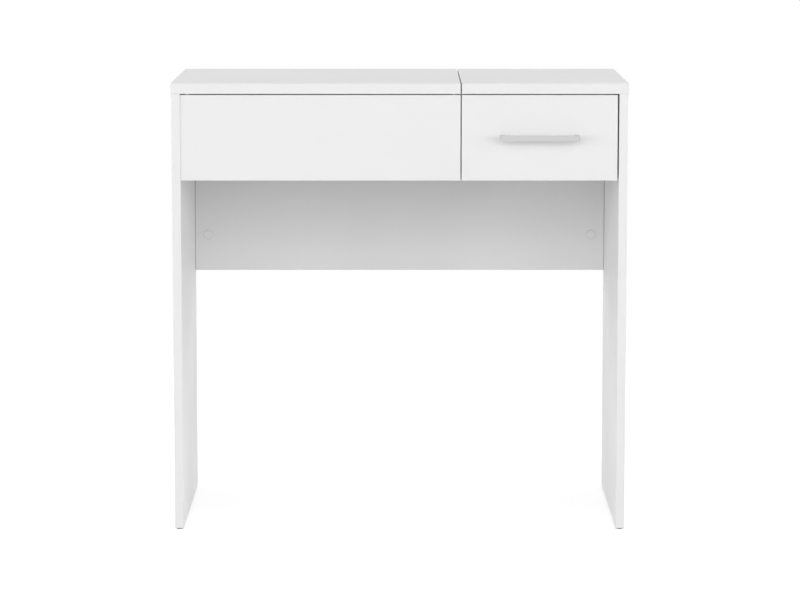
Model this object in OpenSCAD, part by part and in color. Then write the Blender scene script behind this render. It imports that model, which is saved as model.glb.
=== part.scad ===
// Flip top vanity table in white laminated board. The left part of the top is a lid that flips up
// on two butt hinges at the back, over a tray, with a mirror on its underside. A slotted stay stops
// it just past upright. The right part of the top is fixed, over one drawer on roller runners.
// The front faces -Y, the floor is z = 0, and the origin is under the middle of the whole table.

/* [Table] */
// Width over the top
table_w = 790; // [740:5:950]
// Depth of the top, front edge to rear edge
table_d = 400; // [360:5:500]
// Height of the top above the floor
table_h = 782; // [700:1:940]

/* [Boards] */
// Thickness of the lid and the fixed top
top_t = 18; // [16:1:25]
// Thickness of the legs and the inner boards
panel_t = 15; // [15:1:18]
// Width of the fine bevel on the boards' edges
edge_bevel = 0.5; // [0.2:0.1:0.8]
// How far the top stands out past each leg
side_overhang = 1.5; // [0:0.5:6]
// How far the top stands out in front of the legs
front_overhang = 1; // [0:0.5:6]
// Height of the back panel, from its lower edge to the top
back_h = 354; // [250:1:450]
// Thickness of the floor glides
glide_t = 2.5; // [2:0.5:5]
// Diameter of the floor glides
glide_d = 14; // [10:1:15]
// Distance of each glide's centre from the leg's front or rear edge
glide_inset = 12; // [10:1:60]

/* [Lid and fascia] */
// Width of the lid
lid_w = 500; // [420:5:600]
// Gap between the lid and the fixed top, and between the fascia and the drawer front
split_gap = 2; // [1:0.5:4]
// Gap between the top and the fronts below it
top_gap = 2; // [1:0.5:4]
// Height of the fascia and the drawer front
front_h = 148; // [120:1:190]
// How far the fascia and the drawer front stand back from the legs' front edges
front_recess = 2; // [0:0.5:5]
// How far the bottom panel lies above the lower edge of the fascia
floor_raise = 2; // [0:0.5:10]
// Diameter of the clear bumpers under the lid
bumper_d = 8; // [6:1:12]
// Distance of each bumper's centre from the end of the fascia
bumper_inset = 12; // [8:1:60]

/* [Mirror] */
// Rim left free between the mirror and the boards round the tray
mirror_margin = 38.5; // [32:0.5:80]
// Thickness of the mirror
mirror_t = 3; // [3:0.5:5]
// Thickness of the adhesive strips behind it
strip_t = 1; // [0.5:0.5:2]
// Width of each adhesive strip
strip_w = 25; // [15:1:40]
// Number of adhesive strips
strip_count = 4; // [2:1:6]

/* [Drawer] */
// Gap between the drawer front and the right leg
drawer_front_gap = 2.5; // [1.5:0.5:5]
// Thickness of the drawer's sides and back
drawer_board_t = 12; // [12:1:15]
// Height of the drawer's sides
drawer_side_h = 90; // [60:1:95]
// Free space behind the closed drawer
drawer_rear_gap = 17; // [10:1:60]
// Length of the runners that stays in the cabinet when the drawer is pulled out
runner_hold = 96; // [90:1:200]
// Thickness of the drawer's bottom
drawer_bottom_t = 3; // [3:0.5:5]
// Depth of the grooves that hold the drawer's bottom
groove_depth = 5; // [3:0.5:6]
// Height of the groove above the lower edge of the drawer's sides
groove_lift = 10; // [8:1:20]

/* [Handle] */
// Length of the handle
handle_l = 136; // [100:1:140]
// Height of the handle, seen from the front
handle_h = 9.5; // [8:0.5:20]
// How far the handle stands out of the drawer front
handle_out = 28; // [20:1:40]
// Thickness of the handle's bar and posts
handle_t = 8; // [6:0.5:10]
// Radius of the handle's outer corners
handle_corner_r = 2.5; // [1:0.5:5]
// Width of the bevel along the handle's edges
handle_bevel = 0.8; // [0.3:0.1:1.5]
// Height of the handle above the middle of the drawer front
handle_lift = 1; // [-30:0.5:30]

/* [Runners] */
// Side space for each runner
runner_space = 12.5; // [12.5:0.5:14]
// Height of the runner channel
runner_h = 24; // [24:1:30]
// Thickness of the runner steel
runner_sheet = 1; // [0.8:0.1:1.2]
// Height of the runner channel above the bottom panel
runner_lift = 2; // [1:0.5:6]
// Radius of the rollers
roller_r = 8.5; // [8:0.1:8.6]
// Width of the rollers
roller_w = 5; // [4:0.5:5]
// Radius of the roller pins
roller_pin_r = 2; // [1.5:0.1:2.5]

/* [Hinges] */
// Length of each hinge along the lid
hinge_l = 50; // [36:1:80]
// Distance of each hinge's middle from the end of the lid
hinge_inset = 80; // [50:1:150]
// Height of each hinge leaf from the joint
hinge_leaf_h = 16; // [14:1:17]
// Thickness of the hinge leaves
hinge_leaf_t = 1.5; // [1:0.1:2]
// Outer radius of the hinge knuckles
knuckle_r = 3; // [2.5:0.1:4]
// Radius of the hinge pins
hinge_pin_r = 1.5; // [1:0.1:2]
// How far the lid opens, in degrees
lid_angle = 95; // [80:1:105]

/* [Lid stay] */
// Angle between the two pivots, seen from the hinge, with the lid shut
stay_start_angle = 14; // [12:1:20]
// Height of the stay's pivot below the lid
stay_pivot_drop = 10; // [9:1:12]
// Width of the stay arm
stay_w = 12; // [11:0.5:14]
// Thickness of the stay arm
stay_t = 2; // [1.5:0.1:3]
// Radius of the pivot rivet
stay_rivet_r = 2.5; // [2:0.1:3]
// Radius of the pin that runs in the slot
stay_pin_r = 3; // [2.5:0.1:3.5]
// Distance of the stay arm from the left leg
stay_off = 5; // [4:0.5:8]
// Least height of the stay's free end above the tray's floor
stay_floor_gap = 4; // [3:1:20]

/* [Board joints] */
// Diameter of the cam barrels
cam_d = 15; // [12:1:15]
// Depth of the cam barrels' bores
cam_depth = 12.5; // [12:0.1:13]
// Distance of each cam's centre from the board's end
cam_inset = 24; // [20:1:34]
// Diameter of the round covers over the cams
cam_cover_d = 17.5; // [16:0.5:22]
// Thickness of the cam covers
cam_cover_t = 1.2; // [0.8:0.1:2]
// Height of the lower cams above the back panel's lower edge
cam_low = 66; // [30:1:120]
// Distance of the upper cams below the top
cam_high = 60; // [40:1:80]
// Diameter of the dowels
dowel_d = 8; // [6:1:8]
// Length of the dowels
dowel_l = 30; // [25:1:40]

/* [Hidden] */
$fn = 64;

// Clearances: between pieces that move past each other, in a running bore, and round a fixed fastener
move_gap = 0.3;
bore_gap = 0.05;
fit_gap = 0.1;
// How far a cut runs past the face that it opens
past = 1;

// Heights
top_z = table_h - top_t;
front_top_z = top_z - top_gap;
front_low_z = front_top_z - front_h;
floor_low_z = front_low_z + floor_raise;
floor_z = floor_low_z + panel_t;
back_low_z = top_z - back_h;
front_mid_z = front_low_z + front_h / 2;

// Depths: the handle in front and the hinge knuckles behind set where the middle of the table lies
front_set_back = front_overhang + front_recess;
knuckle_out = move_gap + 2 * knuckle_r;
front_y = -table_d / 2 + (handle_out - front_set_back - knuckle_out) / 2;
rear_y = front_y + table_d;
leg_front_y = front_y + front_overhang;
fronts_y = front_y + front_set_back;
inner_front_y = fronts_y + panel_t;
inner_rear_y = rear_y - panel_t;
back_mid_y = rear_y - panel_t / 2;

// Widths
leg_outer_x = table_w / 2 - side_overhang;
leg_inner_x = leg_outer_x - panel_t;
leg_mid_x = leg_outer_x - panel_t / 2;
lid_left_x = -table_w / 2;
lid_right_x = lid_left_x + lid_w;
fixed_left_x = lid_right_x + split_gap;
divider_mid_x = (lid_right_x + fixed_left_x) / 2;
divider_left_x = divider_mid_x - panel_t / 2;
divider_right_x = divider_mid_x + panel_t / 2;
drawer_front_right_x = leg_inner_x - drawer_front_gap;
handle_mid_x = (fixed_left_x + drawer_front_right_x) / 2;

// Floor glides
glide_nail_r = 1;
glide_nail_l = 12;

// Hinges: the joint line lies just behind the boards and level with the lid's underside
hinge_y = rear_y + move_gap + knuckle_r;
hinge_z = top_z - 1;
hinge_xs = [lid_left_x + hinge_inset, lid_right_x - hinge_inset];
knuckle_count = 3;
knuckle_l = hinge_l / knuckle_count;
hinge_corner_r = 2;
hinge_screw_r = 1.5;
hinge_screw_l = 14;
hinge_screw_head_r = 2.8;
hinge_screw_head_t = 1.4;
hinge_screw_rise = 10.5;
hinge_screw_xs = [-hinge_l * 0.34, 0, hinge_l * 0.34];

// Lid stay: the rivet on the lid and the pin on the leg are as far from the hinge as each other,
// so the arm turns half as far as the lid
stay_end_angle = stay_start_angle + lid_angle;
stay_slot_spare = 0.2;
stay_tip = stay_slot_spare + stay_w / 2;
stay_pivot_low = stay_pivot_drop - (top_z - hinge_z);
stay_room = hinge_z - floor_z - stay_floor_gap - stay_tip - stay_pivot_low;
stay_r = stay_room / (2 * sin(stay_end_angle / 2));
stay_pivot_angle = asin(stay_pivot_low / stay_r);
stay_pivot_y = hinge_y - stay_r * cos(stay_pivot_angle);
stay_pivot_z = hinge_z - stay_pivot_low;
stay_pin_y = hinge_y - stay_r * cos(stay_pivot_angle + stay_start_angle);
stay_pin_z = hinge_z - stay_r * sin(stay_pivot_angle + stay_start_angle);
stay_lean = stay_pivot_angle + stay_start_angle / 2;
stay_slot_from = 2 * stay_r * sin(stay_start_angle / 2);
stay_slot_to = 2 * stay_r * sin(stay_end_angle / 2);
stay_x = -leg_inner_x + stay_off;
stay_bracket_x = stay_x + stay_t + move_gap;
stay_bracket_t = 2;
stay_bracket_w = 20;
stay_bracket_l = 44;
stay_ear_r = 6.5;
stay_rivet_head_r = 4.5;
stay_rivet_head_t = 1.2;
stay_collar_r = 5;
stay_pin_head_r = 5.2;
stay_pin_head_t = 1.5;
stay_pin_thread_r = 2;
stay_pin_thread_l = 11;
stay_screw_r = 1.75;
stay_screw_l = 13;
stay_screw_head_r = 3.2;
stay_screw_head_t = 1.6;
stay_screw_ys = [-14, 14];

// Cams and bolts
cam_play = 0.5;
cam_bolt_bore_r = 3.6;
cam_thread_r = 2.5;
cam_thread_l = 11;
cam_shank_r = 3;
cam_neck_r = 2;
cam_head_r = 3.25;
cam_head_l = 3;
cam_channel = 7.2;
cam_drive_l = 8;
cam_drive_w = 1.6;
cam_drive_depth = 2.5;
small_cam_d = 12;
small_cam_depth = 9.5;
floor_cam_inset = 50;
dowel_bite = 10;
dowel_step = 32;

// Each cam joint: a point on the joint plane, the way the bolt points, and the way the cam faces
back_joints = [
    for (side = [-1, 1], z = [back_low_z + cam_low, top_z - cam_high])
        [[side * leg_inner_x, back_mid_y, z], [side, 0, 0], [0, -1, 0]]
];
floor_joints = [
    for (side = [-1, 1], y = [inner_front_y + floor_cam_inset, inner_rear_y - floor_cam_inset])
        [[side * leg_inner_x, y, floor_low_z + panel_t / 2], [side, 0, 0], [0, 0, -1]]
];
fascia_joints = [[[-leg_inner_x, fronts_y + panel_t / 2, front_mid_z], [-1, 0, 0], [0, 1, 0]]];
divider_joints = [
    for (y = [inner_front_y + 2 * floor_cam_inset, inner_rear_y - 2 * floor_cam_inset])
        [[divider_mid_x, y, floor_z], [0, 0, -1], [-1, 0, 0]]
];
leg_top_joints = [
    for (y = [inner_front_y + floor_cam_inset, inner_rear_y - floor_cam_inset])
        [[leg_mid_x, y, top_z], [0, 0, 1], [-1, 0, 0]]
];

// Each dowel: a point on the joint plane, and the way into the board that takes the short end
back_dowels = [
    for (side = [-1, 1], z = [back_low_z + cam_low + dowel_step, top_z - cam_high - dowel_step])
        [[side * leg_inner_x, back_mid_y, z], [side, 0, 0]]
];
floor_dowels = [
    for (side = [-1, 1], y = [inner_front_y + floor_cam_inset + dowel_step,
                              inner_rear_y - floor_cam_inset - dowel_step])
        [[side * leg_inner_x, y, floor_low_z + panel_t / 2], [side, 0, 0]]
];
fascia_dowels = [
    for (rise = [-dowel_step, dowel_step])
        [[-leg_inner_x, fronts_y + panel_t / 2, front_mid_z + rise], [-1, 0, 0]]
];
divider_floor_dowels = [
    for (y = [inner_front_y + 2 * floor_cam_inset + dowel_step,
              inner_rear_y - 2 * floor_cam_inset - dowel_step])
        [[divider_mid_x, y, floor_z], [0, 0, -1]]
];
divider_back_dowels = [
    for (rise = [-dowel_step, dowel_step])
        [[divider_mid_x, inner_rear_y, front_mid_z + rise], [0, 1, 0]]
];
leg_top_dowels = [
    for (y = [inner_front_y + floor_cam_inset + dowel_step, inner_rear_y - floor_cam_inset - dowel_step])
        [[leg_mid_x, y, top_z], [0, 0, 1]]
];
back_top_dowels = [
    for (x = [divider_right_x + 2 * dowel_step, leg_inner_x - 2 * dowel_step])
        [[x, back_mid_y, top_z], [0, 0, 1]]
];

// Angle brackets: corner point, way along one wing, way along the other wing
bracket_leg = 22;
bracket_w = 16;
bracket_t = 2;
sheet_corner_r = 3;
bracket_screw_r = 1.75;
bracket_screw_l = 11;
bracket_screw_head_r = 3.2;
bracket_screw_head_t = 1.5;
bracket_screw_out = 14;
angle_bracket_corners = [
    [[divider_right_x, inner_front_y + 2 * floor_cam_inset, top_z], [1, 0, 0], [0, 0, -1]],
    [[divider_right_x, inner_rear_y - 2 * floor_cam_inset, top_z], [1, 0, 0], [0, 0, -1]],
    [[divider_left_x, inner_front_y, front_mid_z + dowel_step], [-1, 0, 0], [0, 1, 0]],
    [[divider_left_x, inner_front_y, front_mid_z - dowel_step], [-1, 0, 0], [0, 1, 0]]
];

// Drawer box
drawer_l = inner_rear_y - inner_front_y - drawer_rear_gap;
drawer_rear_y = inner_front_y + drawer_l;
drawer_out_left_x = divider_right_x + runner_space;
drawer_out_right_x = leg_inner_x - runner_space;
drawer_in_left_x = drawer_out_left_x + drawer_board_t;
drawer_in_right_x = drawer_out_right_x - drawer_board_t;
runner_z = floor_z + runner_lift;
drawer_seat = 2;
drawer_low_z = runner_z + drawer_seat;
drawer_high_z = drawer_low_z + drawer_side_h;
groove_z = drawer_low_z + groove_lift;
groove_h = drawer_bottom_t + 2 * fit_gap;
drawer_cam_inset = 20;
drawer_dowel_r = 3;
drawer_dowel_l = 24;
drawer_dowel_bite = 10;
drawer_joint_low = 36;
drawer_joint_high = drawer_side_h - 14;
drawer_cam_z = drawer_low_z + (drawer_joint_low + drawer_joint_high) / 2;
drawer_back_screw_r = 2;
drawer_back_screw_l = 35;
drawer_back_screw_head_r = 3.5;
drawer_back_screw_head_t = 2.5;

// Handle
handle_post_xs = [handle_mid_x - (handle_l - handle_t) / 2, handle_mid_x + (handle_l - handle_t) / 2];
handle_z = front_mid_z + handle_lift;
handle_screw_r = 2;
handle_screw_bite = 9;
handle_screw_head_r = 4;
handle_screw_head_t = 2.4;

// Runners, as distances from the wall that carries them
channel_w = 9.5;
channel_lip_h = 2.5;
roller_off = 3;
web_off = runner_space - runner_sheet;
shelf_w = 12;
track_off = 4.5;
cabinet_runner_front_y = inner_front_y + 2;
runner_l = drawer_l - 4;
cabinet_roller_y = cabinet_runner_front_y + 12;
drawer_roller_y = inner_front_y + runner_l - 12;
track_h = runner_h - runner_sheet - 2.7;
track_z = runner_z + track_h - runner_sheet;
cabinet_roller_z = track_z - move_gap - roller_r;
drawer_roller_z = runner_z + runner_sheet + move_gap + roller_r;
roller_pin_head_r = 3.2;
roller_pin_head_t = 0.6;
roller_hub_r = 3.5;
roller_groove_r = 6.8;
roller_groove_depth = 1.2;
drawer_travel = runner_l - runner_hold;
runner_stop_h = 5;
runner_stop_l = 3;
runner_stop_reach = sqrt(pow(roller_r, 2) - pow(roller_r + move_gap - runner_stop_h, 2));
runner_stop_y = drawer_roller_y - drawer_travel - runner_stop_reach - move_gap - runner_stop_l;
runner_screw_r = 1.75;
runner_screw_l = 12;
runner_screw_head_r = 3.4;
runner_screw_head_t = 0.8;
runner_screw_rise = 12;
cabinet_screw_ys = [for (step = [45, 160, runner_l - 45]) cabinet_runner_front_y + step];
drawer_screw_ys = [for (step = [28, 140, runner_l - 40]) inner_front_y + step];
spare_hole_r = 2.5;
spare_hole_pitch = 32;
drawer_screw_wall = 1;
drawer_runner_screw_l = runner_sheet + drawer_board_t - groove_depth - cam_play - drawer_screw_wall;

// Colours as photographed
board_white = [0.94, 0.94, 0.94];
handle_grey = [0.78, 0.78, 0.78];
steel_grey = [0.70, 0.71, 0.72];
zinc_grey = [0.62, 0.63, 0.64];
runner_white = [0.88, 0.88, 0.86];
nylon_white = [0.83, 0.83, 0.80];
beech_brown = [0.78, 0.64, 0.45];
hardboard_white = [0.90, 0.90, 0.88];
mirror_silver = [0.80, 0.84, 0.86];
clear_plastic = [0.86, 0.88, 0.90];
glide_grey = [0.58, 0.58, 0.58];
strip_black = [0.15, 0.15, 0.15];

// ---- Shapes used by more than one piece ----

// A plain block between two corners
module block(low, high) {
    translate(low)
        cube(high - low);
}

// A rectangle with a bevel at each corner
module bevelled(w, h, b) {
    polygon([[b, 0], [w - b, 0], [w, b], [w, h - b], [w - b, h], [b, h], [0, h - b], [0, b]]);
}

// A board between two corners, with the fine bevel that edge trimming leaves on all its edges
module board(low, high) {
    size = high - low;
    translate(low)
        intersection() {
            linear_extrude(size.z)
                bevelled(size.x, size.y, edge_bevel);
            rotate([90, 0, 90])
                linear_extrude(size.x)
                    bevelled(size.y, size.z, edge_bevel);
            translate([0, size.y, 0])
                rotate([90, 0, 0])
                    linear_extrude(size.y)
                        bevelled(size.x, size.z, edge_bevel);
        }
}

// A frame on a joint: local x is the first way, local z the second way
module on_joint(point, x_way, z_way) {
    y_way = cross(z_way, x_way);
    multmatrix([
        [x_way.x, y_way.x, z_way.x, point.x],
        [x_way.y, y_way.y, z_way.y, point.y],
        [x_way.z, y_way.z, z_way.z, point.z],
        [0, 0, 0, 1]
    ])
        children();
}

// A round bar along local x, from one place to another
module bar_x(r, from, to) {
    translate([from, 0, 0])
        rotate([0, 90, 0])
            cylinder(r = r, h = to - from);
}

// A round bar that points along any axis of the table
module bar_along(r, point, way, from, to) {
    up = abs(way.z) > 0 ? [1, 0, 0] : [0, 0, 1];
    on_joint(point, way, up)
        bar_x(r, from, to);
}

// Bores for a cam and its bolt, in the board that holds the cam
module cam_bores(joints, board_t = panel_t, d = cam_d, depth = cam_depth, inset = cam_inset) {
    for (joint = joints)
        on_joint(joint[0], joint[1], joint[2]) {
            translate([-inset, 0, board_t / 2 - depth])
                cylinder(d = d, h = depth + past);
            bar_x(cam_bolt_bore_r, -inset, past);
        }
}

// Blind bores for the bolts' threads, in the board that is pulled up
module bolt_bores(joints) {
    for (joint = joints)
        on_joint(joint[0], joint[1], joint[2])
            bar_x(cam_thread_r, -past, cam_thread_l + cam_play);
}

// Cam barrels, with the channel that grips the bolt's head and a cross drive
module cam_set(joints, board_t = panel_t, d = cam_d, depth = cam_depth, inset = cam_inset) {
    barrel_h = depth - cam_play;
    for (joint = joints)
        on_joint(joint[0], joint[1], joint[2])
            translate([-inset, 0, board_t / 2 - depth])
                difference() {
                    cylinder(d = d - 2 * fit_gap, h = barrel_h);
                    translate([-cam_head_l, -cam_channel / 2, depth - board_t / 2 - cam_channel / 2])
                        cube([d, cam_channel, cam_channel]);
                    for (turn = [0, 90])
                        rotate([0, 0, turn])
                            translate([-cam_drive_l / 2, -cam_drive_w / 2, barrel_h - cam_drive_depth])
                                cube([cam_drive_l, cam_drive_w, cam_drive_depth + past]);
                }
}

// Cam bolts: thread in one board, shank, neck and head in the other
module bolt_set(joints, inset = cam_inset) {
    neck_from = -inset + cam_head_l / 2;
    shank_from = neck_from + cam_head_l + 1;
    for (joint = joints)
        on_joint(joint[0], joint[1], joint[2]) {
            bar_x(cam_thread_r - fit_gap, 0, cam_thread_l);
            bar_x(cam_shank_r, shank_from, 0);
            bar_x(cam_neck_r, neck_from, shank_from);
            bar_x(cam_head_r, neck_from - cam_head_l, neck_from);
        }
}

// Round covers, slightly domed at the rim, flat on the board over each cam
module cover_set(joints) {
    rim = cam_cover_t / 2;
    for (joint = joints)
        on_joint(joint[0], joint[1], joint[2])
            translate([-cam_inset, 0, panel_t / 2])
                rotate_extrude()
                    polygon([
                        [0, 0],
                        [cam_cover_d / 2, 0],
                        [cam_cover_d / 2, rim],
                        [cam_cover_d / 2 - rim, cam_cover_t],
                        [0, cam_cover_t]
                    ]);
}

// Bores for dowels, open on both sides of the joint plane
module dowel_bores(dowel_list) {
    for (one = dowel_list)
        bar_along(dowel_d / 2 + fit_gap, one[0], one[1],
                  dowel_bite - dowel_l - cam_play, dowel_bite + cam_play);
}

// Dowels with bevelled ends
module dowel_set(dowel_list) {
    bevel = 1;
    for (one = dowel_list)
        on_joint(one[0], one[1], abs(one[1].z) > 0 ? [1, 0, 0] : [0, 0, 1])
            translate([dowel_bite - dowel_l, 0, 0])
                rotate([0, 90, 0])
                    rotate_extrude()
                        polygon([
                            [0, 0],
                            [dowel_d / 2 - bevel, 0],
                            [dowel_d / 2, bevel],
                            [dowel_d / 2, dowel_l - bevel],
                            [dowel_d / 2 - bevel, dowel_l],
                            [0, dowel_l]
                        ]);
}

// A screw along local x: the head lies against x = 0, the shank runs to +x
module screw(r, l, head_r, head_t) {
    bar_x(r, -head_t / 2, l);
    bar_x(head_r, -head_t, 0);
}

// A frame on a runner: local x is the distance from the board that carries it towards the drawer
module on_runner(side) {
    if (side < 0)
        translate([divider_right_x, 0, 0])
            children();
    else
        translate([leg_inner_x, 0, 0])
            mirror([1, 0, 0])
                children();
}

// The joints or dowels that enter the left leg, and those that enter the right leg
function left_of(joints) = [for (one = joints) if (one[1].x < 0) one];
function right_of(joints) = [for (one = joints) if (one[1].x > 0) one];

// ---- Carcass boards ----

module leg_blank(side) {
    low_x = side < 0 ? -leg_outer_x : leg_inner_x;
    board([low_x, leg_front_y, glide_t], [low_x + panel_t, rear_y, top_z]);
}

module glide_nail_bores() {
    for (y = [leg_front_y + glide_inset, rear_y - glide_inset], side = [-1, 1])
        translate([side * leg_mid_x, y, glide_t - past])
            cylinder(r = glide_nail_r + fit_gap, h = glide_nail_l + 2 * past);
}

module left_side_panel() {
    color(board_white)
        difference() {
            leg_blank(-1);
            bolt_bores(left_of(concat(back_joints, floor_joints, fascia_joints)));
            dowel_bores(left_of(concat(back_dowels, floor_dowels, fascia_dowels)));
            glide_nail_bores();
            bar_along(stay_pin_thread_r + fit_gap, [-leg_inner_x, stay_pin_y, stay_pin_z], [-1, 0, 0],
                      -past, stay_pin_thread_l + cam_play);
        }
}

module right_side_panel() {
    color(board_white)
        difference() {
            leg_blank(1);
            bolt_bores(right_of(concat(back_joints, floor_joints)));
            dowel_bores(concat(right_of(concat(back_dowels, floor_dowels)), leg_top_dowels));
            cam_bores(leg_top_joints);
            glide_nail_bores();
            on_runner(1)
                cabinet_screw_bores();
        }
}

module back_panel() {
    color(board_white)
        difference() {
            board([-leg_inner_x, inner_rear_y, back_low_z], [leg_inner_x, rear_y, top_z]);
            cam_bores(back_joints);
            dowel_bores(concat(back_dowels, divider_back_dowels, back_top_dowels));
            hinge_screw_bores(-1);
        }
}

module bottom_panel() {
    color(board_white)
        difference() {
            board([-leg_inner_x, inner_front_y, floor_low_z], [leg_inner_x, inner_rear_y, floor_z]);
            cam_bores(floor_joints);
            bolt_bores(divider_joints);
            dowel_bores(concat(floor_dowels, divider_floor_dowels));
        }
}

module divider_panel() {
    color(board_white)
        difference() {
            board([divider_left_x, inner_front_y, floor_z], [divider_right_x, inner_rear_y, top_z]);
            cam_bores(divider_joints);
            dowel_bores(concat(divider_floor_dowels, divider_back_dowels));
            bracket_screw_bores();
            on_runner(-1)
                cabinet_screw_bores();
        }
}

module fascia_panel() {
    color(board_white)
        difference() {
            board([-leg_inner_x, fronts_y, front_low_z], [lid_right_x, inner_front_y, front_top_z]);
            cam_bores(fascia_joints);
            dowel_bores(fascia_dowels);
            bracket_screw_bores();
        }
}

module fixed_top() {
    color(board_white)
        difference() {
            board([fixed_left_x, front_y, top_z], [table_w / 2, rear_y, table_h]);
            bolt_bores(leg_top_joints);
            dowel_bores(concat(leg_top_dowels, back_top_dowels));
            bracket_screw_bores();
        }
}

module floor_glides() {
    rim = 0.8;
    color(glide_grey)
        for (y = [leg_front_y + glide_inset, rear_y - glide_inset], side = [-1, 1])
            translate([side * leg_mid_x, y, 0]) {
                rotate_extrude()
                    polygon([
                        [0, 0],
                        [glide_d / 2 - rim, 0],
                        [glide_d / 2, rim],
                        [glide_d / 2, glide_t],
                        [0, glide_t]
                    ]);
                translate([0, 0, glide_t / 2])
                    cylinder(r = glide_nail_r, h = glide_nail_l + glide_t / 2);
            }
}

// Clear bumpers on the fascia's top edge, which the lid's front comes down on
module lid_bumpers() {
    rim = top_gap / 4;
    color(clear_plastic)
        for (x = [-leg_inner_x + bumper_inset, lid_right_x - bumper_inset])
            translate([x, fronts_y + panel_t / 2, front_top_z])
                rotate_extrude()
                    polygon([
                        [0, 0],
                        [bumper_d / 2, 0],
                        [bumper_d / 2, rim],
                        [bumper_d / 2 - rim, top_gap],
                        [0, top_gap]
                    ]);
}

// ---- Board joints ----

module cam_barrels() {
    color(zinc_grey)
        cam_set(concat(back_joints, floor_joints, fascia_joints, divider_joints, leg_top_joints));
}

module cam_bolts() {
    color(steel_grey)
        bolt_set(concat(back_joints, floor_joints, fascia_joints, divider_joints, leg_top_joints));
}

module cam_covers() {
    color(board_white)
        cover_set(concat(back_joints, floor_joints, fascia_joints, divider_joints, leg_top_joints));
}

module dowels() {
    color(beech_brown)
        dowel_set(concat(back_dowels, floor_dowels, fascia_dowels, divider_floor_dowels,
                         divider_back_dowels, leg_top_dowels, back_top_dowels));
}

// Angle bracket: local x runs along one wing, local z along the other
// Outline of a sheet metal tongue: square at x = 0, with round corners at its other end
module tongue(w, l, r) {
    translate([0, -w / 2])
        square([l - r, w]);
    translate([0, r - w / 2])
        square([l, w - 2 * r]);
    for (side = [-1, 1])
        translate([l - r, side * (w / 2 - r)])
            circle(r = r);
}

module angle_brackets() {
    color(steel_grey)
        for (corner = angle_bracket_corners)
            on_joint(corner[0], corner[1], corner[2])
                difference() {
                    union() {
                        linear_extrude(bracket_t)
                            tongue(bracket_w, bracket_leg, sheet_corner_r);
                        translate([bracket_t, 0, 0])
                            rotate([0, -90, 0])
                                linear_extrude(bracket_t)
                                    tongue(bracket_w, bracket_leg, sheet_corner_r);
                    }
                    translate([bracket_screw_out, 0, -past])
                        cylinder(r = bracket_screw_r + fit_gap, h = bracket_t + 2 * past);
                    translate([0, 0, bracket_screw_out])
                        bar_x(bracket_screw_r + fit_gap, -past, bracket_t + past);
                }
}

module on_bracket_screws() {
    for (corner = angle_bracket_corners)
        on_joint(corner[0], corner[1], corner[2]) {
            translate([bracket_screw_out, 0, bracket_t])
                rotate([0, 90, 0])
                    children();
            translate([bracket_t, 0, bracket_screw_out])
                mirror([1, 0, 0])
                    children();
        }
}

module angle_bracket_screws() {
    color(steel_grey)
        on_bracket_screws()
            screw(bracket_screw_r, bracket_screw_l, bracket_screw_head_r, bracket_screw_head_t);
}

module bracket_screw_bores() {
    on_bracket_screws()
        bar_x(bracket_screw_r + fit_gap, 0, bracket_screw_l + cam_play);
}

// ---- Lid, mirror and hinges ----

module flip_lid() {
    color(board_white)
        difference() {
            board([lid_left_x, front_y, top_z], [lid_right_x, rear_y, table_h]);
            hinge_screw_bores(1);
            on_stay_screws()
                bar_x(stay_screw_r + fit_gap, 0, stay_screw_l + cam_play);
        }
}

mirror_w = divider_left_x + leg_inner_x - 2 * mirror_margin;
mirror_d = inner_rear_y - inner_front_y - 2 * mirror_margin;
mirror_mid_x = (-leg_inner_x + divider_left_x) / 2;
mirror_mid_y = (inner_front_y + inner_rear_y) / 2;
mirror_z = top_z - strip_t - mirror_t;
mirror_bevel = 1;
mirror_corner_r = 3;

module mirror_glass() {
    half_w = mirror_w / 2;
    half_d = mirror_d / 2;
    color(mirror_silver)
        translate([mirror_mid_x, mirror_mid_y, mirror_z])
            difference() {
                linear_extrude(mirror_t)
                    union() {
                        square([mirror_w - 2 * mirror_corner_r, mirror_d], center = true);
                        square([mirror_w, mirror_d - 2 * mirror_corner_r], center = true);
                        for (x = [-1, 1], y = [-1, 1])
                            translate([x * (half_w - mirror_corner_r), y * (half_d - mirror_corner_r)])
                                circle(r = mirror_corner_r);
                    }
                for (side = [-1, 1]) {
                    translate([side * half_w, 0, 0])
                        rotate([0, 45, 0])
                            cube([mirror_bevel, mirror_d + 2 * past, mirror_bevel], center = true);
                    translate([0, side * half_d, 0])
                        rotate([45, 0, 0])
                            cube([mirror_w + 2 * past, mirror_bevel, mirror_bevel], center = true);
                }
            }
}

module mirror_adhesive_strips() {
    margin = 30;
    first_x = mirror_mid_x - mirror_w / 2 + margin + strip_w / 2;
    step_x = (mirror_w - 2 * margin - strip_w) / (strip_count - 1);
    half_l = mirror_d / 2 - margin;
    color(strip_black)
        for (i = [0 : strip_count - 1])
            block([first_x + i * step_x - strip_w / 2, mirror_mid_y - half_l, top_z - strip_t],
                  [first_x + i * step_x + strip_w / 2, mirror_mid_y + half_l, top_z]);
}

// Where each hinge knuckle starts, from the hinge's left end: even ones are fixed, odd ones go up
function knuckle_from(i) = -hinge_l / 2 + i * knuckle_l + (i > 0 ? move_gap / 2 : 0);
function knuckle_to(i) = -hinge_l / 2 + (i + 1) * knuckle_l - (i < knuckle_count - 1 ? move_gap / 2 : 0);

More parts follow.
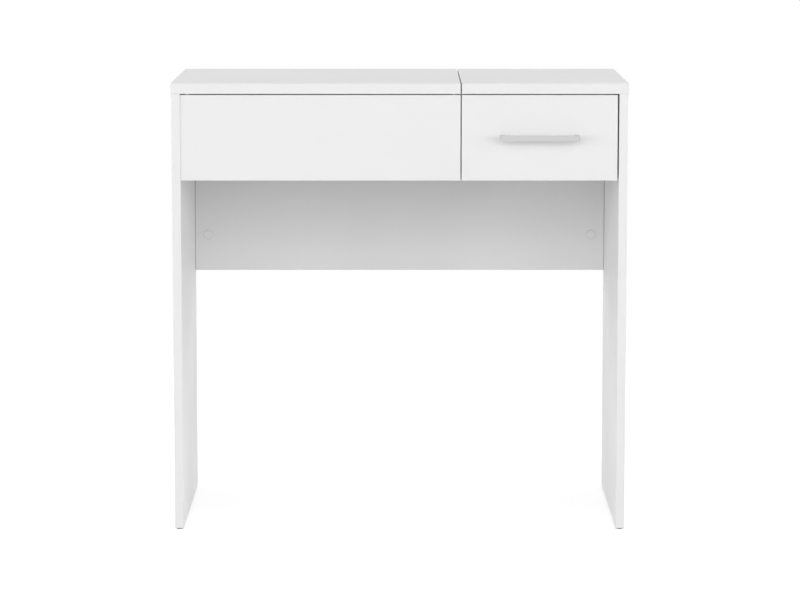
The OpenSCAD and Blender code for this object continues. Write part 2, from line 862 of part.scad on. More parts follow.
// One hinge leaf: way is -1 for the leaf that hangs down, 1 for the leaf that stands up
module hinge_leaf(way) {
    first = way < 0 ? 0 : 1;
    plate_y = -knuckle_r - move_gap;
    plate_from = knuckle_r + move_gap;
    difference() {
        union() {
            rotate([0, way < 0 ? 180 : 0, 0])
                translate([0, plate_y, plate_from])
                    rotate([-90, -90, 0])
                        linear_extrude(hinge_leaf_t)
                            tongue(hinge_l, hinge_leaf_h - plate_from, hinge_corner_r);
            for (i = [first : 2 : knuckle_count - 1]) {
                translate([knuckle_from(i), plate_y, way < 0 ? -plate_from - past : 0])
                    cube([knuckle_to(i) - knuckle_from(i), hinge_leaf_t, plate_from + past]);
                bar_x(knuckle_r, knuckle_from(i), knuckle_to(i));
            }
        }
        bar_x(hinge_pin_r + bore_gap, -hinge_l, hinge_l);
        for (x = hinge_screw_xs)
            translate([x, plate_y - past, way * hinge_screw_rise])
                rotate([-90, 0, 0])
                    cylinder(r = hinge_screw_r + fit_gap, h = hinge_leaf_t + 2 * past);
    }
}

module on_hinges() {
    for (x = hinge_xs)
        translate([x, hinge_y, hinge_z])
            children();
}

module on_hinge_screws(way) {
    on_hinges()
        for (x = hinge_screw_xs)
            translate([x, hinge_leaf_t - knuckle_r - move_gap, way * hinge_screw_rise])
                rotate([0, 0, -90])
                    children();
}

module hinge_screw_bores(way) {
    on_hinge_screws(way)
        bar_x(hinge_screw_r + fit_gap, 0, hinge_screw_l + cam_play);
}

module hinge_fixed_leaves() {
    color(steel_grey)
        on_hinges()
            hinge_leaf(-1);
}

module hinge_lid_leaves() {
    color(steel_grey)
        on_hinges()
            hinge_leaf(1);
}

module hinge_pins() {
    color(zinc_grey)
        on_hinges() {
            bar_x(hinge_pin_r, -hinge_l / 2 - hinge_pin_r, hinge_l / 2);
            bar_x(knuckle_r * 0.85, -hinge_l / 2 - hinge_pin_r, -hinge_l / 2);
        }
}

module hinge_fixed_screws() {
    color(zinc_grey)
        on_hinge_screws(-1)
            screw(hinge_screw_r, hinge_screw_l, hinge_screw_head_r, hinge_screw_head_t);
}

module hinge_lid_screws() {
    color(zinc_grey)
        on_hinge_screws(1)
            screw(hinge_screw_r, hinge_screw_l, hinge_screw_head_r, hinge_screw_head_t);
}

// ---- Lid stay ----

// Flat arm on the lid's rivet, with its slot on the leg's pin: local -z points along the slot
module stay_arm() {
    arm_end = stay_slot_to + stay_slot_spare;
    color(steel_grey)
        translate([stay_x, stay_pivot_y, stay_pivot_z])
            rotate([stay_lean, 0, 0])
                rotate([0, 90, 0])
                    linear_extrude(stay_t)
                        difference() {
                            union() {
                                circle(d = stay_w);
                                translate([0, -stay_w / 2])
                                    square([arm_end, stay_w]);
                                translate([arm_end, 0])
                                    circle(d = stay_w);
                            }
                            circle(r = stay_rivet_r + bore_gap);
                            translate([stay_slot_from - stay_slot_spare, -stay_pin_r - fit_gap])
                                square([arm_end - stay_slot_from + stay_slot_spare,
                                        2 * (stay_pin_r + fit_gap)]);
                            translate([stay_slot_from - stay_slot_spare, 0])
                                circle(r = stay_pin_r + fit_gap);
                            translate([arm_end, 0])
                                circle(r = stay_pin_r + fit_gap);
                        }
}

// Bracket under the lid: a flat foot, and an ear that the rivet goes through
module stay_lid_bracket() {
    ear_h = stay_pivot_drop;
    color(steel_grey)
        translate([stay_bracket_x, stay_pivot_y, top_z])
            difference() {
                union() {
                    translate([0, 0, -stay_bracket_t])
                        linear_extrude(stay_bracket_t)
                            tongue(stay_bracket_l, stay_bracket_w, sheet_corner_r);
                    rotate([0, 90, 0])
                        linear_extrude(stay_bracket_t)
                            union() {
                                polygon([
                                    [0, -stay_bracket_l / 2],
                                    [stay_bracket_t, -stay_bracket_l / 2],
                                    [ear_h, -stay_ear_r],
                                    [ear_h, stay_ear_r],
                                    [stay_bracket_t, stay_bracket_l / 2],
                                    [0, stay_bracket_l / 2]
                                ]);
                                translate([ear_h, 0])
                                    circle(r = stay_ear_r);
                            }
                }
                translate([0, 0, -stay_pivot_drop])
                    bar_x(stay_rivet_r + fit_gap, -past, stay_bracket_t + past);
                for (y = stay_screw_ys)
                    translate([stay_bracket_w * 0.6, y, -stay_bracket_t - past])
                        cylinder(r = stay_screw_r + fit_gap, h = stay_bracket_t + 2 * past);
            }
}

// Rivet: a head outside the arm, a shaft through arm and ear, a flattened tail
module stay_rivet() {
    color(zinc_grey)
        translate([0, stay_pivot_y, stay_pivot_z]) {
            bar_x(stay_rivet_r, stay_x - move_gap - stay_rivet_head_t / 2, stay_bracket_x + stay_bracket_t);
            bar_x(stay_rivet_head_r, stay_x - move_gap - stay_rivet_head_t, stay_x - move_gap);
            bar_x(stay_rivet_head_r * 0.85, stay_bracket_x + stay_bracket_t,
                  stay_bracket_x + stay_bracket_t + stay_rivet_head_t);
        }
}

// Shoulder screw in the left leg: thread, collar, the pin in the slot, head
module stay_slot_pin() {
    head_x = stay_x + stay_t + move_gap;
    color(zinc_grey)
        translate([0, stay_pin_y, stay_pin_z]) {
            bar_x(stay_pin_thread_r, -leg_inner_x - stay_pin_thread_l, -leg_inner_x + past);
            bar_x(stay_collar_r, -leg_inner_x, stay_x - move_gap);
            bar_x(stay_pin_r, -leg_inner_x + past, head_x + stay_pin_head_t / 2);
            bar_x(stay_pin_head_r, head_x, head_x + stay_pin_head_t);
        }
}

module on_stay_screws() {
    for (y = stay_screw_ys)
        translate([stay_bracket_x + stay_bracket_w * 0.6, stay_pivot_y + y, top_z - stay_bracket_t])
            rotate([0, -90, 0])
                children();
}

module stay_bracket_screws() {
    color(zinc_grey)
        on_stay_screws()
            screw(stay_screw_r, stay_screw_l, stay_screw_head_r, stay_screw_head_t);
}

// ---- Drawer box ----

drawer_joints = [
    for (side = [-1, 1])
        [[side < 0 ? drawer_in_left_x - drawer_board_t / 2 : drawer_in_right_x + drawer_board_t / 2,
          inner_front_y, drawer_cam_z],
         [0, -1, 0], [-side, 0, 0]]
];

module drawer_dowel_places() {
    for (joint = drawer_joints, rise = [drawer_joint_low, drawer_joint_high])
        translate([joint[0].x, inner_front_y, drawer_low_z + rise])
            rotate([0, 0, -90])
                children();
}

module drawer_dowel_bores() {
    drawer_dowel_places()
        bar_x(drawer_dowel_r + fit_gap, drawer_dowel_bite - drawer_dowel_l - cam_play,
              drawer_dowel_bite + cam_play);
}

module drawer_bottom_groove() {
    reach = groove_depth + fit_gap;
    block([drawer_in_left_x - reach, inner_front_y - reach, groove_z - fit_gap],
          [drawer_in_right_x + reach, drawer_rear_y + past, groove_z + groove_h - fit_gap]);
}

module drawer_back_screw_places() {
    for (side = [-1, 1], rise = [drawer_joint_low, drawer_joint_high])
        translate([side < 0 ? drawer_out_left_x : drawer_out_right_x,
                   drawer_rear_y - drawer_board_t / 2, drawer_low_z + rise])
            rotate([0, 0, side < 0 ? 0 : 180])
                children();
}

module drawer_back_screw_bores() {
    drawer_back_screw_places() {
        bar_x(drawer_back_screw_r + fit_gap, -past, drawer_back_screw_l + cam_play);
        bar_x(drawer_back_screw_head_r + fit_gap, -past, drawer_back_screw_head_t);
    }
}

module drawer_front() {
    color(board_white)
        difference() {
            board([fixed_left_x, fronts_y, front_low_z],
                  [drawer_front_right_x, inner_front_y, front_top_z]);
            bolt_bores(drawer_joints);
            drawer_dowel_bores();
            drawer_bottom_groove();
            for (x = handle_post_xs)
                translate([x, fronts_y - past, handle_z])
                    rotate([-90, 0, 0])
                        cylinder(r = handle_screw_r + fit_gap, h = panel_t + 2 * past);
        }
}

module drawer_side(side) {
    low_x = side < 0 ? drawer_out_left_x : drawer_in_right_x;
    color(board_white)
        difference() {
            board([low_x, inner_front_y, drawer_low_z],
                  [low_x + drawer_board_t, drawer_rear_y, drawer_high_z]);
            cam_bores([drawer_joints[side < 0 ? 0 : 1]], drawer_board_t, small_cam_d, small_cam_depth,
                      drawer_cam_inset);
            drawer_dowel_bores();
            drawer_bottom_groove();
            drawer_back_screw_bores();
            on_runner(side)
                drawer_screw_bores();
        }
}

module drawer_left_side() {
    drawer_side(-1);
}

module drawer_right_side() {
    drawer_side(1);
}

module drawer_back() {
    color(board_white)
        difference() {
            board([drawer_in_left_x, drawer_rear_y - drawer_board_t, groove_z + drawer_bottom_t + fit_gap],
                  [drawer_in_right_x, drawer_rear_y, drawer_high_z]);
            drawer_back_screw_bores();
        }
}

module drawer_bottom() {
    color(hardboard_white)
        block([drawer_in_left_x - groove_depth, inner_front_y - groove_depth, groove_z],
              [drawer_in_right_x + groove_depth, drawer_rear_y, groove_z + drawer_bottom_t]);
}

module drawer_cam_barrels() {
    color(zinc_grey)
        cam_set(drawer_joints, drawer_board_t, small_cam_d, small_cam_depth, drawer_cam_inset);
}

module drawer_cam_bolts() {
    color(steel_grey)
        bolt_set(drawer_joints, drawer_cam_inset);
}

module drawer_dowels() {
    color(beech_brown)
        drawer_dowel_places()
            bar_x(drawer_dowel_r, drawer_dowel_bite - drawer_dowel_l, drawer_dowel_bite);
}

module drawer_back_screws() {
    color(zinc_grey)
        drawer_back_screw_places() {
            bar_x(drawer_back_screw_r, 0, drawer_back_screw_l);
            bar_x(drawer_back_screw_head_r, 0, drawer_back_screw_head_t);
        }
}

// ---- Handle ----

// Bow handle in plan: a bar with a post at each end, rounded at its outer corners
module handle_plan() {
    r = handle_corner_r;
    difference() {
        union() {
            translate([-handle_l / 2, -handle_out + r])
                square([handle_l, handle_out - r]);
            translate([-handle_l / 2 + r, -handle_out])
                square([handle_l - 2 * r, handle_out]);
            for (side = [-1, 1])
                translate([side * (handle_l / 2 - r), r - handle_out])
                    circle(r = r);
        }
        translate([handle_t - handle_l / 2, handle_t - handle_out])
            square([handle_l - 2 * handle_t, handle_out]);
    }
}

// Section of the handle, front to back, with its front edges bevelled
module handle_section() {
    half_h = handle_h / 2;
    polygon([
        [0, -half_h],
        [0, half_h],
        [handle_bevel - handle_out, half_h],
        [-handle_out, half_h - handle_bevel],
        [-handle_out, handle_bevel - half_h],
        [handle_bevel - handle_out, -half_h]
    ]);
}

module handle() {
    color(handle_grey)
        difference() {
            translate([handle_mid_x, fronts_y, handle_z])
                intersection() {
                    translate([0, 0, -handle_h / 2])
                        linear_extrude(handle_h)
                            handle_plan();
                    rotate([90, 0, 90])
                        linear_extrude(handle_l, center = true)
                            handle_section();
                    translate([-handle_l / 2, 0, -handle_h / 2])
                        rotate([90, 0, 0])
                            linear_extrude(handle_out)
                                bevelled(handle_l, handle_h, handle_bevel);
                }
            for (x = handle_post_xs)
                translate([x, fronts_y + past, handle_z])
                    rotate([90, 0, 0])
                        cylinder(r = handle_screw_r + fit_gap, h = handle_screw_bite + cam_play + past);
        }
}

module handle_screws() {
    color(zinc_grey)
        for (x = handle_post_xs)
            translate([x, inner_front_y, handle_z])
                rotate([0, 0, -90])
                    screw(handle_screw_r, panel_t + handle_screw_bite,
                          handle_screw_head_r, handle_screw_head_t);
}

// ---- Runners and rollers ----

// A section in x and z, drawn out along y
module along_y(from, to) {
    translate([0, to, 0])
        rotate([90, 0, 0])
            linear_extrude(to - from)
                children();
}

// A pair of spare holes midway between each two screws, through the sheet between from and to
module spare_holes(screw_ys, from, to) {
    for (i = [1 : len(screw_ys) - 1], step = [-spare_hole_pitch / 2, spare_hole_pitch / 2])
        translate([0, (screw_ys[i - 1] + screw_ys[i]) / 2 + step, runner_z + runner_screw_rise])
            bar_x(spare_hole_r, from - past, to + past);
}

// Channel on the cabinet, open towards the drawer, with a lip that keeps the roller in and a stop
// that the drawer's roller comes up against
module cabinet_runner(side) {
    s = runner_sheet;
    color(runner_white)
        on_runner(side)
            difference() {
                translate([0, 0, runner_z])
                    union() {
                        along_y(cabinet_runner_front_y, cabinet_runner_front_y + runner_l)
                            polygon([
                                [0, 0],
                                [channel_w, 0],
                                [channel_w, channel_lip_h],
                                [channel_w - s, channel_lip_h],
                                [channel_w - s, s],
                                [s, s],
                                [s, runner_h - s],
                                [channel_w, runner_h - s],
                                [channel_w, runner_h],
                                [0, runner_h]
                            ]);
                        translate([s / 2, runner_stop_y, s / 2])
                            cube([channel_w - s, runner_stop_l, runner_stop_h + s / 2]);
                    }
                cabinet_screw_bores();
                spare_holes(cabinet_screw_ys, 0, s);
                translate([0, cabinet_roller_y, cabinet_roller_z])
                    bar_x(roller_pin_r + fit_gap, -past, s + past);
            }
}

// Z section on the drawer: a shelf under the drawer side, a web, and the track that runs on the roller
module drawer_runner(side) {
    s = runner_sheet;
    color(runner_white)
        on_runner(side)
            difference() {
                translate([0, 0, runner_z])
                    along_y(inner_front_y, inner_front_y + runner_l)
                        polygon([
                            [web_off, drawer_seat - s],
                            [web_off + shelf_w, drawer_seat - s],
                            [web_off + shelf_w, drawer_seat],
                            [runner_space, drawer_seat],
                            [runner_space, track_h],
                            [track_off, track_h],
                            [track_off, track_h - s],
                            [web_off, track_h - s]
                        ]);
                drawer_screw_bores();
                spare_holes(drawer_screw_ys, web_off, runner_space);
                translate([0, drawer_roller_y, drawer_roller_z])
                    bar_x(roller_pin_r + fit_gap, web_off - past, runner_space + past);
            }
}

module cabinet_screw_bores() {
    for (y = cabinet_screw_ys)
        translate([0, y, runner_z + runner_screw_rise])
            bar_x(runner_screw_r + fit_gap, -runner_screw_l - cam_play, runner_sheet + past);
}

module drawer_screw_bores() {
    for (y = drawer_screw_ys)
        translate([0, y, runner_z + runner_screw_rise])
            bar_x(runner_screw_r + fit_gap, web_off - past, web_off + drawer_runner_screw_l + cam_play);
}

module cabinet_runner_left() {
    cabinet_runner(-1);
}

module cabinet_runner_right() {
    cabinet_runner(1);
}

module drawer_runner_left() {
    drawer_runner(-1);
}

module drawer_runner_right() {
    drawer_runner(1);
}

// Nylon roller on a pin along x, with a hub, a tread and a groove between them
module roller(side, y, z) {
    color(nylon_white)
        on_runner(side)
            translate([roller_off, y, z])
                rotate([0, 90, 0])
                    difference() {
                        cylinder(r = roller_r, h = roller_w);
                        translate([0, 0, -past])
                            cylinder(r = roller_pin_r + bore_gap, h = roller_w + 2 * past);
                        translate([0, 0, roller_w - roller_groove_depth])
                            difference() {
                                cylinder(r = roller_groove_r, h = roller_groove_depth + past);
                                cylinder(r = roller_hub_r, h = roller_groove_depth + past);
                            }
                    }
}

module cabinet_roller_left() {
    roller(-1, cabinet_roller_y, cabinet_roller_z);
}

module cabinet_roller_right() {
    roller(1, cabinet_roller_y, cabinet_roller_z);
}

module drawer_roller_left() {
    roller(-1, drawer_roller_y, drawer_roller_z);
}

module drawer_roller_right() {
    roller(1, drawer_roller_y, drawer_roller_z);
}

module cabinet_roller_pins() {
    head_x = roller_off + roller_w + move_gap;
    color(zinc_grey)
        for (side = [-1, 1])
            on_runner(side)
                translate([0, cabinet_roller_y, cabinet_roller_z]) {
                    bar_x(roller_pin_r, 0, head_x + roller_pin_head_t / 2);
                    bar_x(roller_pin_head_r, runner_sheet, roller_off - move_gap);
                    bar_x(roller_pin_head_r, head_x, head_x + roller_pin_head_t);
                }
}

module drawer_roller_pins() {
    head_x = roller_off - move_gap;
    color(zinc_grey)
        for (side = [-1, 1])
            on_runner(side)
                translate([0, drawer_roller_y, drawer_roller_z]) {
                    bar_x(roller_pin_r, head_x - roller_pin_head_t / 2, runner_space);
                    bar_x(roller_pin_head_r, head_x - roller_pin_head_t, head_x);
                    bar_x(roller_pin_head_r, roller_off + roller_w + move_gap, web_off);
                }
}

module cabinet_runner_screws() {
    color(zinc_grey)
        for (side = [-1, 1], y = cabinet_screw_ys)
            on_runner(side)
                translate([runner_sheet, y, runner_z + runner_screw_rise])
                    mirror([1, 0, 0])
                        screw(runner_screw_r, runner_sheet + runner_screw_l, runner_screw_head_r,
                              runner_screw_head_t);
}

module drawer_runner_screws() {
    color(zinc_grey)
        for (side = [-1, 1], y = drawer_screw_ys)
            on_runner(side)
                translate([web_off, y, runner_z + runner_screw_rise])
                    screw(runner_screw_r, drawer_runner_screw_l, runner_screw_head_r, runner_screw_head_t);
}

left_side_panel();
right_side_panel();
back_panel();
bottom_panel();
divider_panel();
fascia_panel();
fixed_top();
flip_lid();
floor_glides();
lid_bumpers();
mirror_glass();
mirror_adhesive_strips();
cam_barrels();
cam_bolts();
cam_covers();
dowels();
angle_brackets();
angle_bracket_screws();
hinge_fixed_leaves();
hinge_lid_leaves();
hinge_pins();
hinge_fixed_screws();
hinge_lid_screws();
stay_arm();
stay_lid_bracket();
stay_rivet();
stay_slot_pin();
stay_bracket_screws();
drawer_front();
drawer_left_side();
drawer_right_side();
drawer_back();
drawer_bottom();
drawer_cam_barrels();
drawer_cam_bolts();
drawer_dowels();
drawer_back_screws();
handle();
handle_screws();
cabinet_runner_left();
cabinet_runner_right();
drawer_runner_left();
drawer_runner_right();
cabinet_roller_left();
cabinet_roller_right();
drawer_roller_left();
drawer_roller_right();
cabinet_roller_pins();
drawer_roller_pins();
cabinet_runner_screws();
drawer_runner_screws();
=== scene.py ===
# Flip top vanity table in white laminated board, closed, as it stands in the photograph.
# The left part of the top is a lid with a mirror under it, the right part covers a drawer with a
# bow handle, and two panel legs carry the box with a back panel between them.
import math

import bmesh
import bpy
from mathutils import Matrix, Vector


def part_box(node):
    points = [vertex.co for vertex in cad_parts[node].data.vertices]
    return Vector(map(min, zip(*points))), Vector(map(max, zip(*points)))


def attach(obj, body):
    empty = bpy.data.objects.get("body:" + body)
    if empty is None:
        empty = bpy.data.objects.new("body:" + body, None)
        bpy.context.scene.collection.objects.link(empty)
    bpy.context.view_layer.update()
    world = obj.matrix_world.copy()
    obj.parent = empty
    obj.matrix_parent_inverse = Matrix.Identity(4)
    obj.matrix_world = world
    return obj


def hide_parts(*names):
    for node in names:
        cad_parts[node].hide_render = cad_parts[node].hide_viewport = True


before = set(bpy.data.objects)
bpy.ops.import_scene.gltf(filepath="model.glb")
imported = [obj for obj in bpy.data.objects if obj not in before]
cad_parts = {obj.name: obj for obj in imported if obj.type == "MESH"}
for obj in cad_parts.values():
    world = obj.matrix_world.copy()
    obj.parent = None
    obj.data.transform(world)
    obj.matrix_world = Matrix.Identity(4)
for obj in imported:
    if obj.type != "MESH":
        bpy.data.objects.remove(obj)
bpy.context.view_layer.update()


# ---- Boards ----
# Chipboard faced with white melamine paper, with a thin white edging strip glued round it and
# trimmed to a fine bevel. Legs, back, box, fascia and both tops are cut from it, and cams and
# dowels pull them together.
class Tone:
    """One socket of a node tree. Sums on it add Math nodes."""

    def __init__(self, tree, socket):
        self.tree = tree
        self.socket = socket

    def of(self, output):
        return Tone(self.tree, self.socket.node.outputs[output])

    def math(self, operation, first, second=0.0):
        return self.tree.node("ShaderNodeMath", {"operation": operation}, {0: first, 1: second})

    def __add__(self, other):
        return self.math("ADD", self, other)

    def __sub__(self, other):
        return self.math("SUBTRACT", self, other)

    def __rsub__(self, other):
        return self.math("SUBTRACT", other, self)

    def __mul__(self, other):
        return self.math("MULTIPLY", self, other)

    def __truediv__(self, other):
        return self.math("DIVIDE", self, other)

    def __abs__(self):
        return self.math("ABSOLUTE", self)

    __radd__ = __add__
    __rmul__ = __mul__

    def least(self, other):
        return self.math("MINIMUM", self, other)

    def most(self, other):
        return self.math("MAXIMUM", self, other)

    def above(self, low, high):
        """0 up to low, 1 from high on."""
        return self.tree.node(
            "ShaderNodeMapRange",
            {"interpolation_type": "SMOOTHSTEP"},
            {"Value": self, "From Min": low, "From Max": high},
        )


class Tree:
    """The nodes of a material or of the sky."""

    def __init__(self, owner):
        owner.use_nodes = True
        self.nodes = owner.node_tree.nodes
        self.links = owner.node_tree.links

    def node(self, kind, settings=None, values=None):
        made = self.nodes.new(kind)
        for name, value in (settings or {}).items():
            setattr(made, name, value)
        for name, value in (values or {}).items():
            self.join(made.inputs[name], value)
        return Tone(self, next(out for out in made.outputs if out.enabled))

    def join(self, socket, value):
        if isinstance(value, Tone):
            self.links.new(value.socket, socket)
        else:
            socket.default_value = value

    def place(self):
        return self.node("ShaderNodeTexCoord").of("Object")


class Finish(Tree):
    """A material with one Principled shader, and what varies it over the surface."""

    def __init__(self, name, **fixed):
        self.material = bpy.data.materials.new(name)
        super().__init__(self.material)
        self.shader = self.nodes["Principled BSDF"]
        self.vary(**fixed)

    def facing(self):
        return self.node("ShaderNodeTexCoord").of("Normal")

    def parts(self, vector):
        split = self.node("ShaderNodeSeparateXYZ", {}, {"Vector": vector})
        return split, split.of("Y"), split.of("Z")

    def stretched(self, by):
        return self.node("ShaderNodeMapping", {}, {"Vector": self.place(), "Scale": by})

    def noise(self, scale, detail=2.0, rough=0.5, at=None):
        return self.node(
            "ShaderNodeTexNoise",
            {},
            {"Vector": at or self.place(), "Scale": scale, "Detail": detail, "Roughness": rough},
        )

    def between(self, factor, first, second):
        """A colour between two, each written as red, green and blue or made by other nodes."""
        mix = self.node("ShaderNodeMix", {"data_type": "RGBA"}, {"Factor": factor})
        for side, colour in (("A", first), ("B", second)):
            whole = colour if isinstance(colour, Tone) else (*colour, 1.0)
            self.join(mix.socket.node.inputs[side], whole)
        return mix.of("Result")

    def vary(self, **tones):
        for socket, tone in tones.items():
            self.join(self.shader.inputs[socket.replace("_", " ")], tone)

    def shade(self, mask, colours, rough, spread):
        """The mask takes the colour from the first to the second and the roughness up by spread."""
        self.vary(Base_Color=self.between(mask, *colours), Roughness=rough + spread * mask)

    def dent(self, height, depth):
        bump = {"Height": height, "Strength": 1.0, "Distance": depth}
        self.vary(Normal=self.node("ShaderNodeBump", {}, bump))

    def cover(self, *nodes):
        for name in nodes:
            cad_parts[name].material_slots[0].material = self.material


clean_white = (0.868, 0.868, 0.868)
soiled_white = (0.835, 0.834, 0.83)
seam_grime_and_shade = (0.14, 0.14, 0.14)
edging = 0.0008
glue_line = 0.00012
bevel = (0.0006, 0.0009)
rubbed_rim = 0.0016
seam = 0.0008
paper_peel = 0.00002


def laminate(name, butted=None):
    """White board. The ends on the butted axis meet other boards, with a dark hairline of grime and
    painted shade between.
    """
    low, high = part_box(name)
    size = high - low
    thin = min(range(3), key=lambda i: size[i])
    board = Finish("white_laminate_" + name, IOR=1.5)
    spot = enumerate(board.parts(board.place()))
    walls = [(part - low[i]).least(high[i] - part) for i, part in spot]
    # The second nearest wall tells how far away the nearest edge is.
    edge = walls[0].least(walls[1]).most(walls[0].most(walls[1]).least(walls[2]))
    joint = 1 - (abs(edge - edging) / glue_line).least(1.0)
    scratches = board.noise(scale=90.0, detail=4.0).above(0.5, 0.62)
    rubbed = (1 - edge.above(0.0, rubbed_rim)) * scratches
    cloud = board.noise(scale=7.0, detail=3.0).above(0.3, 0.7)
    on_edging = walls[thin].above(*bevel)
    soil = 0.3 * cloud + 0.35 * joint + 0.25 * rubbed
    white = board.between(soil, clean_white, soiled_white)
    # Where boards butt, the hairline is painted dark: grime and painted shade in the joint.
    if butted is not None:
        white = board.between(walls[butted].above(0.6 * seam, seam), seam_grime_and_shade, white)
    board.vary(
        Base_Color=white,
        Roughness=0.47 + 0.06 * cloud + 0.08 * rubbed - 0.04 * on_edging,
    )
    fine, coarse = board.noise(scale=1300.0), board.noise(scale=260.0, detail=1.0)
    board.dent(fine * 0.6 + coarse * 0.4 - 0.5 * joint, depth=paper_peel)
    board.cover(name)


for board_name in (
    "left_side_panel",
    "right_side_panel",
    "bottom_panel",
    "divider_panel",
    "fascia_panel",
    "fixed_top",
    "flip_lid",
    "drawer_front",
    "drawer_left_side",
    "drawer_right_side",
    "drawer_back",
):
    laminate(board_name)
laminate("back_panel", butted=0)


# ---- Cams, bolts, dowels and angle brackets ----
# Die cast cams turn behind the heads of zinc plated bolts and draw the boards tight, and beech
# dowels keep them in line. White caps hide the cams, with dust and painted shade on their bevelled
# rims. Four steel angles hold the tops and the fascia.
cast_grey = (0.50, 0.51, 0.52), (0.60, 0.61, 0.62)
cast_zinc = Finish("cast_zinc", Metallic=1.0)
grit = cast_zinc.noise(scale=900.0, detail=3.0)
cast_zinc.shade(grit, cast_grey, rough=0.38, spread=0.16)
cast_zinc.dent(grit, depth=0.00004)
cast_zinc.cover("cam_barrels", "drawer_cam_barrels")

plated_grey = (0.60, 0.62, 0.66), (0.70, 0.70, 0.69)
plated = Finish("zinc_plated_steel", Metallic=1.0)
bloom = plated.noise(scale=160.0, detail=3.0)
plated.shade(bloom, plated_grey, rough=0.26, spread=0.14)
plated.dent(plated.noise(scale=700.0), depth=0.00001)
plated.cover(
    "cam_bolts",
    "drawer_cam_bolts",
    "angle_brackets",
    "cabinet_roller_pins",
    "drawer_roller_pins",
)

beech_brown = (0.52, 0.36, 0.20), (0.70, 0.53, 0.34)
beech = Finish("beech", IOR=1.45)
pores = beech.noise(scale=60.0, detail=4.0, at=beech.stretched((6.0, 30.0, 30.0)))
beech.shade(pores, beech_brown, rough=0.55, spread=0.15)
beech.dent(pores, depth=0.00008)
beech.cover("dowels", "drawer_dowels")

cap_white = (0.88, 0.88, 0.88), (0.86, 0.86, 0.855)
rim_dust_and_shade = (0.62, 0.62, 0.61)
cap = Finish("white_cap_plastic", IOR=1.46)
cap_flow = cap.noise(scale=120.0)
across, along, upward = (abs(part) for part in cap.parts(cap.facing()))
# The bevelled rim is painted darker, as dust and as painted shade round the cap.
on_rim = 1 - across.most(along).most(upward).above(0.8, 0.95)
cap.vary(
    Base_Color=cap.between(on_rim, cap.between(cap_flow, *cap_white), rim_dust_and_shade),
    Roughness=0.38 + 0.08 * cap_flow,
)
cap.dent(cap.noise(scale=600.0), depth=0.00001)
cap.cover("cam_covers")


# ---- Floor glides and lid bumpers ----
# Grey plastic buttons nailed under the legs, and two milky clear buttons stuck on the fascia's top
# edge, which the lid comes down on.
glide_grey = (0.26, 0.26, 0.26), (0.36, 0.36, 0.36)
glide = Finish("glide_plastic", IOR=1.46)
scuff = glide.noise(scale=700.0, detail=3.0)
glide.shade(scuff, glide_grey, rough=0.42, spread=0.2)
glide.dent(scuff, depth=0.00003)
glide.cover("floor_glides")

milky = (0.9, 0.92, 0.93, 1.0)
bumper = Finish("clear_bumper", Base_Color=milky, Transmission_Weight=0.35, IOR=1.49)
haze = bumper.noise(scale=500.0)
bumper.vary(Roughness=0.12 + 0.1 * haze)
bumper.dent(haze, depth=0.00001)
bumper.cover("lid_bumpers")


# ---- Mirror under the lid ----
# Silvered glass with a fine ground bevel, grey protective paint on its back, stuck to the lid with
# four strips of foam tape.
silver = (0.86, 0.89, 0.885)
back_paint = (0.20, 0.22, 0.23)
ground_glass = (0.50, 0.64, 0.60)
mirror = Finish("silvered_glass", IOR=1.52)
up = mirror.parts(mirror.facing())[2]
painted = up.above(0.6, 0.8)
ground = 1 - abs(up).above(0.35, 0.5)
mirror.vary(
    Base_Color=mirror.between(ground, mirror.between(painted, silver, back_paint), ground_glass),
    Metallic=1 - painted.most(ground),
    Roughness=0.015 + 0.5 * painted + 0.25 * ground + 0.01 * mirror.noise(scale=25.0),
)
mirror.cover("mirror_glass")

foam_black = (0.02, 0.02, 0.02), (0.05, 0.05, 0.05)
foam = Finish("foam_tape", IOR=1.4)
cells = foam.node("ShaderNodeTexVoronoi", {}, {"Vector": foam.place(), "Scale": 1800.0})
foam.shade(cells, foam_black, rough=0.8, spread=0.15)
foam.dent(cells, depth=0.0001)
foam.cover("mirror_adhesive_strips")


# ---- Hinges ----
# Two nickel plated butt hinges, rolled from strip round their pins, screwed to the back panel and
# to the lid's rear edge.
nickel_grey = (0.60, 0.59, 0.57), (0.68, 0.67, 0.65)
nickel = Finish("nickel_plated_steel", Metallic=1.0)
rolled = nickel.noise(scale=40.0, detail=5.0, at=nickel.stretched((1.0, 22.0, 22.0)))
nickel.shade(rolled, nickel_grey, rough=0.24, spread=0.14)
nickel.dent(rolled, depth=0.00001)
nickel.cover("hinge_fixed_leaves", "hinge_lid_leaves", "hinge_pins")


# ---- Lid stay ----
# A flat slotted arm, punched from zinc plated strip. It hangs from a rivet under the lid and slides
# along a shoulder screw in the left leg, which stops the lid just past upright.
strip_grey = (0.58, 0.60, 0.63), (0.69, 0.70, 0.71)
strip = Finish("punched_strip", Metallic=1.0)
drawn = strip.noise(scale=50.0, detail=5.0, at=strip.stretched((30.0, 2.0, 12.0)))
strip.shade(drawn, strip_grey, rough=0.28, spread=0.16)
strip.dent(drawn, depth=0.00001)
strip.cover("stay_arm", "stay_lid_bracket", "stay_rivet", "stay_slot_pin")


# ---- Drawer bottom ----
# A 3 mm sheet of hardboard painted white on the inside. It slides in under the drawer's back, into
# grooves in the two sides and the front.
hardboard_white = (0.85, 0.85, 0.84), (0.78, 0.775, 0.76)
hardboard = Finish("painted_hardboard", IOR=1.45)
fibre = hardboard.noise(scale=420.0, detail=5.0, rough=0.65)
hardboard.vary(
    Base_Color=hardboard.between(fibre.above(0.35, 0.75), *hardboard_white),
    Roughness=0.5 + 0.15 * fibre,
)
hardboard.dent(fibre, depth=0.00006)
hardboard.cover("drawer_bottom")


